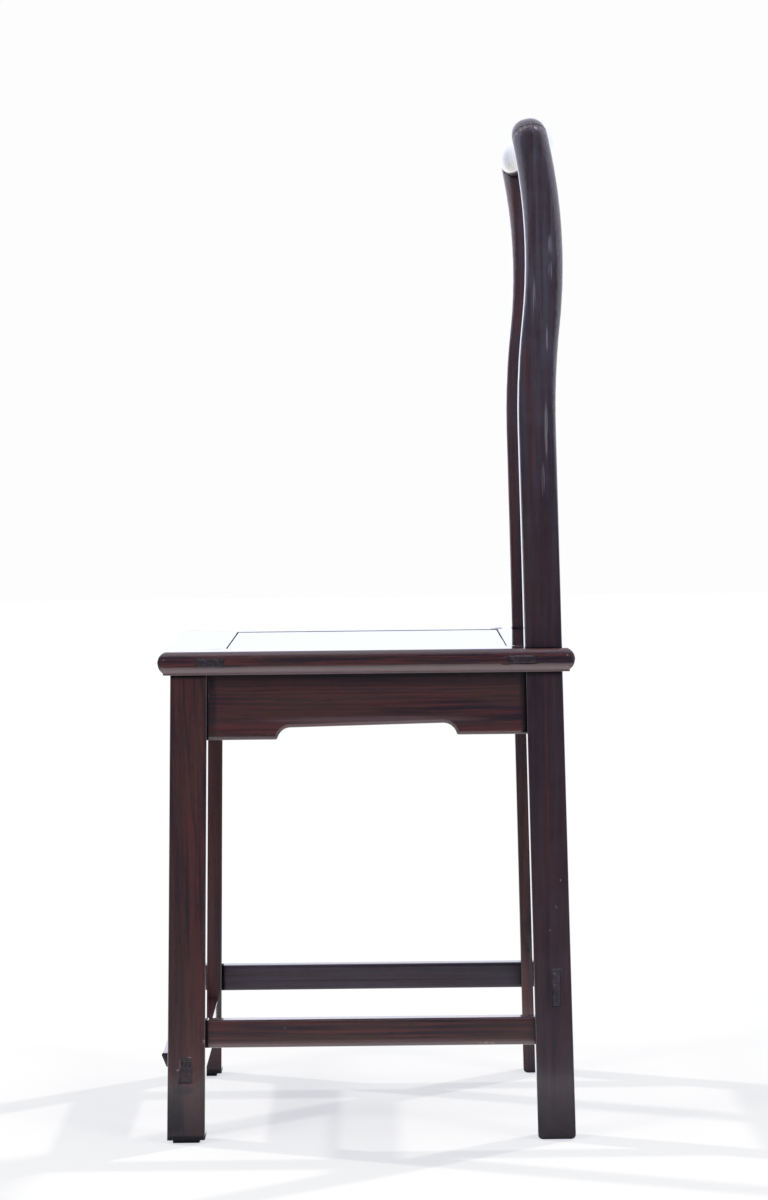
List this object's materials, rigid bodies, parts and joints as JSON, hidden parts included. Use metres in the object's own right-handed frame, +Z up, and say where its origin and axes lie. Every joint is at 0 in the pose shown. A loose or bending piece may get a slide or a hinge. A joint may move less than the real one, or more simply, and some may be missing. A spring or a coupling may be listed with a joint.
{
  "type": "side chair",
  "caption": "East Asian hardwood side chair with S-curved back posts, a rounded crest rail, a curved back splat and a framed plank seat on splayed legs with stepped stretchers.",
  "frame": {"origin": "middle of the chair's footprint, on the floor", "axes": "+Z up, the chair faces -Y, +X is the sitter's left"},
  "size_m": [0.498, 0.4203, 1.0309],
  "materials": {
    "hardwood": "dark reddish brown rosewood with an old satin polish, worn paler along the edges",
    "foot_pad": "dark felt"
  },
  "bodies": {
    "root": {"front_leg_left": "hardwood", "front_leg_right": "hardwood", "back_post_left": "hardwood", "back_post_right": "hardwood", "crest_rail": "hardwood", "back_splat": "hardwood", "seat_left_rail": "hardwood", "seat_right_rail": "hardwood", "seat_front_rail": "hardwood", "seat_rear_rail": "hardwood", "seat_panel": "hardwood", "seat_batten": "hardwood", "left_apron": "hardwood", "right_apron": "hardwood", "front_apron": "hardwood", "rear_apron": "hardwood", "front_footrest": "hardwood", "rear_stretcher": "hardwood", "left_stretcher": "hardwood", "right_stretcher": "hardwood", "front_left_foot_pad": "foot_pad", "front_right_foot_pad": "foot_pad"}
  },
  "joints": []
}
